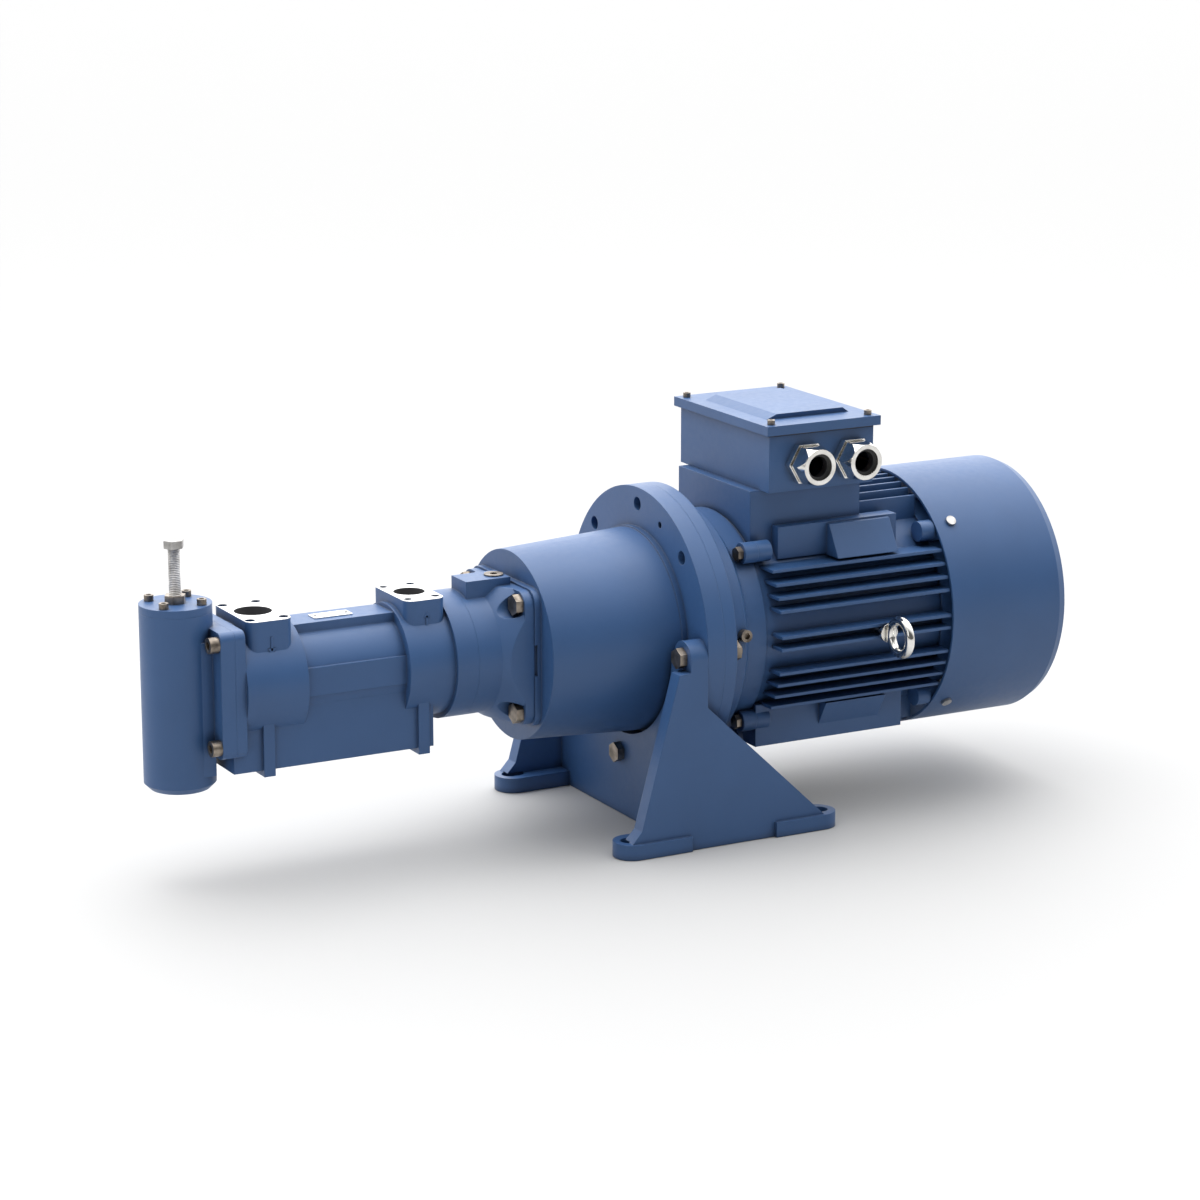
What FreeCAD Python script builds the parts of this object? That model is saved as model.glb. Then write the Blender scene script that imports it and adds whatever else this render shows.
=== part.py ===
import FreeCAD
import Part
import Sketcher
import math
import os
import re
from FreeCAD import Placement, Rotation, Vector

# Three-screw pump, bell housing, foot bracket and flanged motor, in millimetres.
# +X runs along the shaft towards the motor, +Z is up, and the origin lies on the floor
# at the centre of the four foot bolts.

SIZES = {
    "shaft_height": 200,
    "bell_face": -31,
    "fit_gap": 0.05,
    "bell_flange_radius": 150,
    "bell_flange_thickness": 20,
    "bell_bolt_circle": 132.5,
    "bell_hole_radius": 7.25,
    "bell_length": 157,
    "bell_nose_radius": 99,
    "bell_root_radius": 107,
    "bell_ring_radius": 108.6,
    "bell_ring_depth": 6,
    "bell_wall": 9,
    "bell_end_wall": 19,
    "pad_half": 72,
    "pad_depth": 7,
    "pad_corner": 16,
    "pry_slot_half": 16,
    "pump_spigot_radius": 62.5,
    "pump_bolt_circle": 80,
    "pump_bolt_radius": 6,
    "pump_bolt_across": 19,
    "pump_bolt_head": 8,
    "pump_bolt_length": 28,
    "bracket_thickness": 20,
    "bracket_half_width": 150,
    "bracket_cutout_radius": 110,
    "lug_radius": 17.5,
    "gusset_thickness": 17,
    "gusset_front_foot": 57,
    "gusset_rear_reach": 136,
    "gusset_rear_top": 51,
    "foot_spacing_x": 220,
    "foot_spacing_y": 268,
    "foot_pad_radius": 20,
    "foot_pad_thickness": 16,
    "foot_slot_radius": 9,
    "foot_slot_length": 25,
    "bracket_bolt_radius": 6,
    "bracket_bolt_across": 19,
    "bracket_bolt_head": 8,
    "bracket_nut_height": 10,
    "collar_radius": 65,
    "collar_length": 24,
    "cover_barrel_length": 49,
    "cover_flange_thickness": 10,
    "cover_flange_half": 70,
    "cover_flare_radius": 82,
    "cover_flare_length": 26,
    "bolt_scallop_radius": 13,
    "vent_block_length": 50,
    "vent_block_width": 34,
    "vent_block_height": 78,
    "vent_plug_radius": 8,
    "pump_body_length": 260,
    "barrel_radius": 50,
    "bore_radius": 38,
    "boss_radius": 60,
    "suction_boss_length": 65,
    "discharge_boss_length": 50,
    "base_half_width": 45,
    "base_depth": 82,
    "base_end": 217,
    "shelf_half_width": 50,
    "shelf_height": 17,
    "rib_width": 12,
    "rib_depth": 88,
    "ridge_half_width": 20,
    "ridge_height": 55,
    "port_height": 69.3,
    "suction_port_from_seam": 217.5,
    "discharge_port_from_seam": 47,
    "suction_bore_radius": 19,
    "discharge_bore_radius": 16,
    "suction_block_length": 48,
    "suction_block_half_width": 46,
    "discharge_block_length": 44,
    "discharge_block_half_width": 41,
    "port_corner": 10,
    "suction_holes_x": 35.7,
    "suction_holes_y": 69.9,
    "discharge_holes_x": 30.2,
    "discharge_holes_y": 58.7,
    "suction_thread_radius": 5.1,
    "discharge_thread_radius": 4.25,
    "port_thread_depth": 20,
    "body_flange_thickness": 11,
    "valve_flange_thickness": 15,
    "end_flange_half_width": 55,
    "end_flange_half_height": 64,
    "valve_radius": 36,
    "valve_offset": 39,
    "valve_depth": 100,
    "valve_top": 79,
    "valve_cap_thickness": 8,
    "valve_bore_radius": 22,
    "valve_bore_floor": 85,
    "valve_neck_half_width": 34,
    "valve_screw_circle": 28,
    "valve_screw_radius": 3,
    "side_screw_y": 47,
    "side_screw_z": 52,
    "side_screw_radius": 5,
    "adjuster_radius": 5.9,
    "adjuster_length": 96,
    "adjuster_across": 18,
    "adjuster_head": 8,
    "lock_nut_height": 8,
    "lock_nut_across": 19,
    "spring_plate_thickness": 6,
    "spring_plate_height": 40,
    "piston_length": 30,
    "piston_cup_radius": 17,
    "piston_cup_depth": 20,
    "spring_radius": 13,
    "spring_wire_radius": 2,
    "spring_turns": 8,
    "main_tip_radius": 17.5,
    "pitch_radius": 10.5,
    "screw_length": 112,
    "screw_lead": 70,
    "screw_clearance": 0.1,
    "flank_clearance_degrees": 1.2,
    "screw_start_from_seam": 188,
    "journal_plate_thickness": 10,
    "main_journal_radius": 8,
    "idler_journal_radius": 3.4,
    "idler_journal_length": 12,
    "pump_shaft_radius": 10,
    "pump_bearing_radius": 23.5,
    "pump_bearing_width": 14,
    "seal_radius": 19,
    "seal_width": 9,
    "hub_radius": 40,
    "hub_length": 46,
    "jaw_length": 17,
    "jaw_inner_radius": 20,
    "jaw_angle": 36,
    "motor_flange_thickness": 14,
    "motor_spigot_radius": 115,
    "motor_spigot_depth": 4,
    "motor_shaft_radius": 19,
    "motor_shaft_length": 80,
    "shield_radius": 128,
    "shield_length": 54,
    "shield_neck_radius": 118,
    "ear_circle": 127,
    "ear_radius": 11,
    "ear_length": 16,
    "frame_length": 216,
    "frame_radius": 115,
    "frame_bore_radius": 105,
    "fin_radius": 136,
    "fin_pitch": 13.2,
    "fin_thickness": 3.2,
    "fin_front_margin": 8,
    "stator_inner_radius": 65.5,
    "stator_length": 150,
    "stator_start": 32,
    "winding_length": 14,
    "rotor_radius": 65,
    "rotor_shaft_radius": 24,
    "motor_bearing_radius": 45,
    "motor_bearing_inner_radius": 20,
    "motor_bearing_width": 23,
    "ball_radius": 7,
    "rear_shield_length": 30,
    "fan_radius": 100,
    "fan_width": 32,
    "fan_shaft_radius": 14,
    "cowl_radius": 139.2,
    "cowl_wall": 2.7,
    "cowl_gap": 0.5,
    "cowl_length": 149,
    "cowl_edge": 13,
    "grille_slot_width": 8,
    "grille_pitch": 15,
    "box_length": 126,
    "box_half_width": 92,
    "box_height": 59,
    "box_wall": 5,
    "box_start": 16,
    "box_base_height": 150,
    "neck_half_width": 75,
    "neck_length": 133,
    "neck_start": 4,
    "gasket_thickness": 2,
    "lid_thickness": 10,
    "lid_overhang": 5.5,
    "lid_panel_height": 5,
    "gland_spacing": 56,
    "gland_from_front": 42,
    "gland_height": 29,
    "gland_across": 40,
    "gland_nut_across": 37,
    "gland_thread_radius": 15.9,
    "gland_bore_radius": 11,
    "eyebolt_position": 132,
    "eyebolt_seat": 142,
    "eye_radius": 17.5,
    "eye_wire_radius": 5,
    "plate_position": 89,
    "plate_length": 74,
}

doc = FreeCAD.newDocument("ThreeScrewPump")
sheet = doc.addObject("Spreadsheet::Sheet", "Sizes")
for row, (alias, value) in enumerate(SIZES.items(), start=1):
    sheet.set(f"A{row}", alias)
    sheet.set(f"B{row}", str(value))
    sheet.setAlias(f"B{row}", alias)
doc.recompute()

ALONG = Vector(1, 0, 0)
BACK = Vector(-1, 0, 0)
UP = Vector(0, 0, 1)
DOWN = Vector(0, 0, -1)
NEAR = Vector(0, -1, 0)
FAR = Vector(0, 1, 0)
ALIAS = re.compile(r"[a-z][a-z_]+")
NODES = []


# Expressions are written with the bare aliases of the size sheet
def on_sheet(text):
    return ALIAS.sub(lambda word: "Sizes." + word.group() if word.group() in SIZES else word.group(), str(text))


def number(text):
    found = sheet.evalExpression(on_sheet(text))
    return float(getattr(found, "Value", found))


def bind(thing, prop, text):
    thing.setExpression(prop, on_sheet(text))


def place(thing, at, direction=UP, turn=0):
    spin = Rotation(direction, turn)
    thing.Placement = Placement(Vector(), spin.multiply(Rotation(UP, direction)))
    for axis, text in zip("xyz", at):
        bind(thing, "Placement.Base." + axis, text)


def primitive(kind, at, direction=UP, turn=0, **sizes):
    thing = doc.addObject("Part::" + kind, kind)
    place(thing, at, direction, turn)
    for prop, text in sizes.items():
        bind(thing, prop, text)
    return thing


def rod(at, radius, length, direction=ALONG, turn=0, angle=360):
    return primitive("Cylinder", at, direction, turn, Radius=radius, Height=length, Angle=angle)


def taper(at, radius, end_radius, length, direction=ALONG):
    return primitive("Cone", at, direction, Radius1=radius, Radius2=end_radius, Height=length)


def block(low, size):
    return primitive("Box", low, Length=size[0], Width=size[1], Height=size[2])


def hexagon(at, across, height, direction=ALONG):
    prism = primitive("Prism", at, direction, Circumradius=f"({across}) / sqrt(3)", Height=height)
    prism.Polygon = 6
    return prism


def ring(at, radius, wire, direction=ALONG):
    return primitive("Torus", at, direction, Radius1=radius, Radius2=wire)


def fuse(*parts):
    union = doc.addObject("Part::MultiFuse", "Union")
    union.Shapes = list(parts)
    union.Refine = True
    return union


def cut(base, *tools):
    result = doc.addObject("Part::Cut", "Difference")
    result.Base = base
    result.Tool = tools[0] if len(tools) == 1 else fuse(*tools)
    result.Refine = True
    return result


def common(base, tool):
    result = doc.addObject("Part::Common", "Overlap")
    result.Base = base
    result.Tool = tool
    return result


def tube(at, outer, inner, length, direction=ALONG):
    return cut(rod(at, outer, length, direction), rod(at, inner, length, direction))


def group(*parts):
    bundle = doc.addObject("Part::Compound", "Group")
    bundle.Links = list(parts)
    return bundle


def node(name, thing):
    thing.Label = name
    NODES.append(thing)
    return thing


# A block whose edges along one axis are rounded
def rounded_block(low, size, radius, axis=UP):
    base = block(low, size)
    doc.recompute()
    result = doc.addObject("Part::Fillet", "Rounded")
    result.Base = base
    reach = number(radius)
    edges = []
    for index, edge in enumerate(base.Shape.Edges, start=1):
        run = edge.Vertexes[1].Point.sub(edge.Vertexes[0].Point).normalize()
        if abs(run.dot(axis)) > 0.99:
            edges.append((index, reach, reach))
    result.Edges = edges
    return result


# A closed profile of straight lines whose corners are all bound to the sheet
def draw_profile(sketch, points):
    corners = [Vector(number(across), number(up), 0) for across, up in points]
    count = len(corners)
    for index in range(count):
        line = Part.LineSegment(corners[index], corners[(index + 1) % count])
        sketch.addGeometry(line, False)
    for index in range(count):
        sketch.addConstraint(Sketcher.Constraint("Coincident", index, 2, (index + 1) % count, 1))
    for index, (across, up) in enumerate(points):
        for kind, text, where in (("DistanceX", across, corners[index].x), ("DistanceY", up, corners[index].y)):
            at = sketch.addConstraint(Sketcher.Constraint(kind, -1, 1, index, 1, where))
            bind(sketch, f"Constraints[{at}]", text)


# A body turned about the shaft axis from a profile of (x, radius) corners
def turned(points):
    body = doc.addObject("PartDesign::Body", "Turned")
    sketch = body.newObject("Sketcher::SketchObject", "Profile")
    plane = [feature for feature in body.Origin.OriginFeatures if feature.Role == "XZ_Plane"][0]
    sketch.AttachmentSupport = (plane, [""])
    sketch.MapMode = "FlatFace"
    draw_profile(sketch, points)
    doc.recompute()
    revolution = body.newObject("PartDesign::Revolution", "Revolution")
    revolution.Profile = sketch
    revolution.ReferenceAxis = (sketch, ["H_Axis"])
    revolution.Angle = 360
    body.Tip = revolution
    bind(body, "Placement.Base.z", "shaft_height")
    return body


# A plate cut from a profile in the XZ plane (across X, up Z) or the YZ plane (across Y, up Z)
def plate(points, start, thickness, normal=FAR):
    sketch = doc.addObject("Sketcher::SketchObject", "Outline")
    draw_profile(sketch, points)
    if normal == FAR:
        sketch.Placement = Placement(Vector(), Rotation(Vector(1, 0, 0), 90))
        bind(sketch, "Placement.Base.y", start)
    else:
        sketch.Placement = Placement(Vector(), Rotation(FAR, UP, ALONG, "XYZ"))
        bind(sketch, "Placement.Base.x", start)
    slab = doc.addObject("Part::Extrusion", "Slab")
    slab.Base = sketch
    slab.DirMode = "Custom"
    slab.Dir = normal
    slab.Solid = True
    bind(slab, "LengthFwd", thickness)
    return slab


# Y and Z of a point on a circle about the shaft
def around(radius, angle):
    return f"({radius}) * cos({angle})", f"shaft_height + ({radius}) * sin({angle})"


def about(angle):
    return Vector(0, math.cos(math.radians(angle)), math.sin(math.radians(angle)))


# A hexagon-head bolt whose seat lies under its head; the head points along the direction
def hex_bolt(seat, direction, radius, length, across, head):
    shank = rod(seat, radius, length, direction.negative())
    return fuse(hexagon(seat, across, head, direction), shank)


# A socket-head cap screw
def cap_screw(seat, direction, radius, length):
    head = rod(seat, f"{radius} * 1.6", f"{radius} * 2", direction)
    shank = rod(seat, radius, length, direction.negative())
    top = [f"({text}) + ({step}) * {radius}" for text, step in zip(seat, direction)]
    socket = hexagon(top, f"{radius} * 1.6", f"{radius} * 1.1", direction)
    return cut(fuse(head, shank), socket)


FLANGE_BACK = "(bell_face + bell_flange_thickness)"
PUMP_JOINT = "(bell_face - bell_length)"
SEAM = f"({PUMP_JOINT} - cover_barrel_length - cover_flange_thickness)"
BODY_END = f"({SEAM} - pump_body_length)"
FLANGE_FACE = f"({BODY_END} - valve_flange_thickness)"
VALVE_X = f"({BODY_END} - valve_offset)"
SUCTION_X = f"({SEAM} - suction_port_from_seam)"
DISCHARGE_X = f"({SEAM} - discharge_port_from_seam)"
PORT_TOP = "(shaft_height + port_height)"
SCREW_START = f"({SEAM} - screw_start_from_seam)"
SCREW_END = f"({SCREW_START} + screw_length)"
MOTOR_FACE = FLANGE_BACK
SHIELD_START = f"({MOTOR_FACE} + motor_flange_thickness)"
FRAME_START = f"({SHIELD_START} + shield_length)"
FRAME_END = f"({FRAME_START} + frame_length)"


# Pump housing: a cast barrel between two port bosses on a deep base
def pump_housing():
    low = f"shaft_height - base_depth"
    solid = [
        rod((BODY_END, 0, "shaft_height"), "barrel_radius", "pump_body_length - 1"),
        rod((f"{BODY_END} + body_flange_thickness", 0, "shaft_height"), "boss_radius", "suction_boss_length"),
        rod((f"{SEAM} - collar_length - discharge_boss_length", 0, "shaft_height"), "boss_radius",
            "discharge_boss_length + 1"),
        rod((f"{SEAM} - collar_length", 0, "shaft_height"), "collar_radius", "collar_length"),
        block((BODY_END, "-base_half_width", low), ("base_end", "2 * base_half_width", "base_depth")),
        block((f"{BODY_END} + suction_boss_length", "-shelf_half_width", "shaft_height - 12"),
              ("pump_body_length - suction_boss_length - collar_length - discharge_boss_length + 5",
               "2 * shelf_half_width", "shelf_height + 12")),
        block((f"{BODY_END} + suction_boss_length", "-ridge_half_width", "shaft_height"),
              ("pump_body_length - suction_boss_length - collar_length - 30", "2 * ridge_half_width",
               "ridge_height")),
        rounded_block((BODY_END, "-end_flange_half_width", "shaft_height - end_flange_half_height"),
                      ("body_flange_thickness", "2 * end_flange_half_width", "2 * end_flange_half_height"),
                      "8", ALONG),
        rounded_block((f"{SUCTION_X} - suction_block_length / 2", "-suction_block_half_width", "shaft_height"),
                      ("suction_block_length", "2 * suction_block_half_width", "port_height"), "port_corner"),
        rounded_block((f"{DISCHARGE_X} - discharge_block_length / 2", "-discharge_block_half_width",
                       "shaft_height"),
                      ("discharge_block_length", "2 * discharge_block_half_width", "port_height"),
                      "port_corner"),
    ]
    for place_x in (f"{SUCTION_X} - rib_width", f"{DISCHARGE_X} - 14"):
        solid.append(block((place_x, "-base_half_width - 4", "shaft_height - rib_depth"),
                           ("rib_width", "2 * base_half_width + 8", "rib_depth - 20")))
    holes = [
        rod((BODY_END, 0, "shaft_height"), "bore_radius", "pump_body_length"),
        rod((SUCTION_X, 0, "shaft_height"), "suction_bore_radius", "port_height + 1", UP),
        rod((DISCHARGE_X, 0, "shaft_height"), "discharge_bore_radius", "port_height + 1", UP),
    ]
    for side in (-1, 1):
        for end in (-1, 1):
            holes.append(rod((f"{SUCTION_X} + {end} * suction_holes_x / 2", f"{side} * suction_holes_y / 2",
                              PORT_TOP), "suction_thread_radius", "port_thread_depth", DOWN))
            holes.append(rod((f"{DISCHARGE_X} + {end} * discharge_holes_x / 2",
                              f"{side} * discharge_holes_y / 2", PORT_TOP), "discharge_thread_radius",
                             "port_thread_depth", DOWN))
            holes.append(rod((f"{BODY_END}", f"{side} * side_screw_y", f"shaft_height + {end} * side_screw_z"),
                             "side_screw_radius", "body_flange_thickness"))
    node("pump_housing", cut(fuse(*solid), *holes))
    name_seat = "shaft_height + ridge_height"
    node("pump_nameplate", rounded_block((f"{BODY_END} + 105", "-9", name_seat), ("42", "18", "1"), "2"))
    rivets = [ring_head(f"{BODY_END} + {105 + step}", f"{name_seat} + 1") for step in (4, 38)]
    node("nameplate_rivets", group(*rivets))


def ring_head(x, seat):
    return primitive("Sphere", (x, 0, seat), Radius="1.6", Angle1="0")


# Drive cover: flares from the pump barrel into the square centring flange
def drive_cover():
    flange_front = f"({PUMP_JOINT} - cover_flange_thickness)"
    square = rounded_block((f"{flange_front} - cover_flare_length", "-cover_flange_half",
                            "shaft_height - cover_flange_half"),
                           ("cover_flare_length + cover_flange_thickness", "2 * cover_flange_half",
                            "2 * cover_flange_half"), "pad_corner", ALONG)
    flare = common(taper((f"{flange_front} - cover_flare_length", 0, "shaft_height"), "collar_radius - 2",
                         "cover_flare_radius", "cover_flare_length + 0.01"), square)
    flange = rounded_block((flange_front, "-cover_flange_half", "shaft_height - cover_flange_half"),
                           ("cover_flange_thickness", "2 * cover_flange_half", "2 * cover_flange_half"),
                           "pad_corner", ALONG)
    barrel = rod((SEAM, 0, "shaft_height"), "collar_radius", "cover_barrel_length")
    spigot = rod((PUMP_JOINT, 0, "shaft_height"), "pump_spigot_radius", "4")
    vent = block((f"{PUMP_JOINT} - vent_block_length - 4", "-25", "shaft_height + 40"),
                 ("vent_block_length", "vent_block_width", "vent_block_height - 40"))
    holes = [
        rod((SEAM, 0, "shaft_height"), "pump_bearing_radius", "20"),
        rod((SEAM, 0, "shaft_height"), "seal_radius", "46"),
        rod((SEAM, 0, "shaft_height"), "pump_shaft_radius + 1.5", "cover_barrel_length + 30"),
        rod((f"{PUMP_JOINT} - 15", "-9", "shaft_height + vent_block_height - 8"), "vent_plug_radius", "9", UP),
    ]
    for angle in (45, 135, 225, 315):
        y, z = around("pump_bolt_circle", angle)
        holes.append(rod((f"{flange_front} - cover_flare_length", y, z), "bolt_scallop_radius",
                         "cover_flare_length"))
        holes.append(rod((flange_front, y, z), "pump_bolt_radius + fit_gap", "cover_flange_thickness"))
    node("drive_cover", cut(fuse(barrel, flare, flange, spigot, vent), *holes))
    seat = (f"{PUMP_JOINT} - 15", "-9", "shaft_height + vent_block_height")
    plug = fuse(rod(seat, "vent_plug_radius + 2", "1.5", UP), rod(seat, "vent_plug_radius", "8", DOWN))
    node("vent_plug", cut(plug, hexagon((seat[0], seat[1], f"{seat[2]} - 4"), "7", "6", UP)))
    bolts = [hex_bolt((flange_front, *around("pump_bolt_circle", angle)), BACK, "pump_bolt_radius",
                      "pump_bolt_length", "pump_bolt_across", "pump_bolt_head") for angle in (45, 135, 225, 315)]
    node("pump_flange_bolts", group(*bolts))


# Valve housing: an upright cylinder bolted to the suction end, with its cap and adjuster
def relief_valve():
    top = "shaft_height + valve_top"
    column = rod((VALVE_X, 0, "shaft_height - valve_depth + 6"), "valve_radius", "valve_depth + valve_top - 6", UP)
    foot = taper((VALVE_X, 0, "shaft_height - valve_depth + 6"), "valve_radius", "valve_radius - 6", "6", DOWN)
    neck = block((VALVE_X, "-valve_neck_half_width", "shaft_height - end_flange_half_height - 20"),
                 ("valve_offset - valve_flange_thickness + 1", "2 * valve_neck_half_width",
                  "2 * end_flange_half_height + 8"))
    flange = rounded_block((FLANGE_FACE, "-end_flange_half_width", "shaft_height - end_flange_half_height"),
                           ("valve_flange_thickness", "2 * end_flange_half_width",
                            "2 * end_flange_half_height"), "8", ALONG)
    holes = [
        rod((VALVE_X, 0, "shaft_height - valve_bore_floor"), "valve_bore_radius",
            "valve_bore_floor + valve_top", UP),
        rod((VALVE_X, 0, "shaft_height"), "14", "valve_offset"),
    ]
    screws = []
    for side in (-1, 1):
        for end in (-1, 1):
            seat = (FLANGE_FACE, f"{side} * side_screw_y", f"shaft_height + {end} * side_screw_z")
            holes.append(rod(seat, "side_screw_radius", "valve_flange_thickness"))
            screws.append(cap_screw(seat, BACK, "side_screw_radius",
                                    "valve_flange_thickness + body_flange_thickness"))
    for angle in (45, 135, 225, 315):
        holes.append(rod((f"{VALVE_X} + valve_screw_circle * cos({angle})", f"valve_screw_circle * sin({angle})",
                          top), "valve_screw_radius", "12", DOWN))
    node("valve_housing", cut(fuse(column, foot, neck, flange), *holes))
    node("valve_housing_screws", group(*screws))

    cap_top = f"{top} + valve_cap_thickness"
    cap_holes = [rod((VALVE_X, 0, top), "adjuster_radius + fit_gap", "valve_cap_thickness", UP)]
    cap_screws = []
    for angle in (45, 135, 225, 315):
        x = f"{VALVE_X} + valve_screw_circle * cos({angle})"
        y = f"valve_screw_circle * sin({angle})"
        cap_holes.append(rod((x, y, top), "valve_screw_radius", "valve_cap_thickness", UP))
        cap_screws.append(cap_screw((x, y, cap_top), UP, "valve_screw_radius", "valve_cap_thickness + 12"))
    node("valve_cap", cut(rod((VALVE_X, 0, top), "valve_radius", "valve_cap_thickness", UP), *cap_holes))
    node("valve_cap_screws", group(*cap_screws))
    nut = hexagon((VALVE_X, 0, cap_top), "lock_nut_across", "lock_nut_height", UP)
    node("lock_nut", cut(nut, rod((VALVE_X, 0, cap_top), "adjuster_radius + fit_gap", "lock_nut_height", UP)))

    plate_top = "shaft_height + spring_plate_height + spring_plate_thickness"
    node("spring_plate", fuse(
        rod((VALVE_X, 0, "shaft_height + spring_plate_height"), "valve_bore_radius - fit_gap",
            "spring_plate_thickness", UP),
        rod((VALVE_X, 0, "shaft_height + spring_plate_height - 5"), "spring_radius - spring_wire_radius - 1",
            "5", UP)))
    node("adjusting_screw", fuse(
        rod((VALVE_X, 0, f"{plate_top} + 0.02"), "adjuster_radius", "adjuster_length", UP),
        hexagon((VALVE_X, 0, f"{plate_top} + adjuster_length"), "adjuster_across", "adjuster_head", UP)))
    floor = "shaft_height - valve_bore_floor + 0.02"
    piston = rod((VALVE_X, 0, floor), "valve_bore_radius - fit_gap", "piston_length", UP)
    cup = rod((VALVE_X, 0, f"{floor} + piston_length - piston_cup_depth"), "piston_cup_radius",
              "piston_cup_depth", UP)
    node("relief_piston", cut(piston, cup))


# Relief spring: wire wound between the piston's cup and the spring plate, in straight chords
def relief_spring():
    wire_radius = size("spring_wire_radius")
    mean = size("spring_radius")
    low = number("shaft_height - valve_bore_floor + piston_length - piston_cup_depth + 0.05") + wire_radius
    high = number("shaft_height + spring_plate_height - 0.05") - wire_radius
    chords = round(size("spring_turns") * 14)
    sections = []
    for step in range(chords + 1):
        angle = 360 * size("spring_turns") * step / chords
        centre = polar(mean, angle) + Vector(0, 0, (high - low) * step / chords)
        corners = [centre + polar(wire_radius * math.cos(math.radians(side)), angle)
                   + Vector(0, 0, wire_radius * math.sin(math.radians(side))) for side in range(0, 360, 60)]
        sections.append(Part.makePolygon(corners + corners[:1]))
    spring = doc.addObject("Part::Feature", "Spring")
    spring.Shape = Part.makeLoft(sections, True, True)
    spring.Placement = Placement(Vector(number(VALVE_X), 0, low), Rotation())
    node("relief_spring", spring)


# One flank of a screw, as (radius, angle) pairs traced by the edge of the screw it meshes with
def flank(tracing_radius, target_radius, count=4):
    distance = 2 * size("pitch_radius")
    reach = math.acos((distance ** 2 + tracing_radius ** 2 - target_radius ** 2) / (2 * distance * tracing_radius))
    points = []
    for step in range(count):
        roll = reach * step / (count - 1)
        across = distance * math.cos(roll) - tracing_radius * math.cos(2 * roll)
        up = distance * math.sin(roll) - tracing_radius * math.sin(2 * roll)
        points.append((math.hypot(across, up), abs(math.degrees(math.atan2(up, across)))))
    return points


def size(alias):
    return float(sheet.get(alias))


def polar(radius, angle):
    return Vector(radius * math.cos(math.radians(angle)), radius * math.sin(math.radians(angle)), 0)


# The section of a two-start screw: a tip arc, a root arc and two flanks in each half turn
def screw_section(quarter):
    near_radius, near_angle = quarter[0]
    far_radius, far_angle = quarter[-1]
    corners = []
    for half in (0, 180):
        for share in (-1, -1 / 3, 1 / 3):
            corners.append((near_radius, half + share * near_angle))
        corners += [(radius, half + angle) for radius, angle in quarter[:-1]]
        for share in (0, 1 / 3, 2 / 3):
            corners.append((far_radius, half + far_angle + share * (180 - 2 * far_angle)))
        corners += [(radius, half + 180 - angle) for radius, angle in reversed(quarter[1:])]
    return corners


# The section turned along the lead, and joined by ruled flanks
def threaded_length(section, hand):
    length = size("screw_length")
    turn = 360 * length / size("screw_lead")
    steps = math.ceil(turn / 15)
    wires = []
    for step in range(steps + 1):
        twist = hand * turn * step / steps
        lift = Vector(0, 0, length * step / steps)
        corners = [polar(radius, angle + twist) + lift for radius, angle in section]
        wires.append(Part.makePolygon(corners + corners[:1]))
    return Part.makeLoft(wires, True, True)


def add_screw(name, shape, y=0):
    screw = doc.addObject("Part::Feature", "Screw")
    screw.Shape = shape
    screw.Placement = Placement(Vector(number(SCREW_START), y, size("shaft_height")),
                                Rotation(FAR, UP, ALONG, "XYZ"))
    node(name, screw)


# The driven screw and the two idlers that mesh with it
def screws():
    pitch = size("pitch_radius")
    tip = size("main_tip_radius")
    gap = size("screw_clearance")
    slack = size("flank_clearance_degrees")
    main_flank = flank(pitch, tip)
    idler_flank = flank(tip, pitch)
    sweep = main_flank[-1][1]
    half_tip = (90 - sweep) / 2
    lobe = [(radius - gap, half_tip + sweep - slack - angle) for radius, angle in reversed(main_flank)]
    groove = [(radius - gap, half_tip + slack + angle) for radius, angle in idler_flank]
    drive_end = number(f"{PUMP_JOINT} + bell_length - motor_shaft_length + bell_flange_thickness"
                       f" - jaw_length - 4 - {SCREW_START}")
    length = size("screw_length")
    shaft = Part.makeCylinder(size("pump_shaft_radius"), drive_end - length, Vector(0, 0, length))
    journal = Part.makeCylinder(size("main_journal_radius"), size("journal_plate_thickness") + 2,
                                Vector(0, 0, -size("journal_plate_thickness") - 2))
    main = threaded_length(screw_section(lobe), 1).fuse([shaft, journal])
    add_screw("main_screw", main)
    reach = size("idler_journal_length")
    idler_journal = Part.makeCylinder(size("idler_journal_radius"), reach, Vector(0, 0, -reach))
    idler = threaded_length(screw_section(groove), -1).fuse([idler_journal])
    add_screw("idler_screw_near", idler, -2 * pitch)
    add_screw("idler_screw_far", idler, 2 * pitch)


# The liner that the screws run in, and the bronze plate that carries their journals
def screw_liner():
    axis = "shaft_height"
    outer = rod((SCREW_START, 0, axis), "bore_radius - fit_gap", "screw_length")
    bores = [rod((SCREW_START, 0, axis), "main_tip_radius", "screw_length")]
    for side in (-1, 1):
        bores.append(rod((SCREW_START, f"{side} * 2 * pitch_radius", axis), "pitch_radius", "screw_length"))
    node("screw_liner", cut(outer, *bores))
    plate_x = f"({SCREW_START} - journal_plate_thickness)"
    disc = rod((plate_x, 0, axis), "bore_radius - fit_gap", "journal_plate_thickness - 0.1")
    holes = [rod((plate_x, 0, axis), "main_journal_radius + fit_gap", "journal_plate_thickness")]
    for side in (-1, 1):
        holes.append(rod((plate_x, f"{side} * 2 * pitch_radius", axis), "idler_journal_radius + fit_gap",
                         "journal_plate_thickness"))
        holes.append(rod((plate_x, 0, f"{axis} + {side} * 24"), "9", "journal_plate_thickness"))
    node("journal_plate", cut(disc, *holes))


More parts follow.
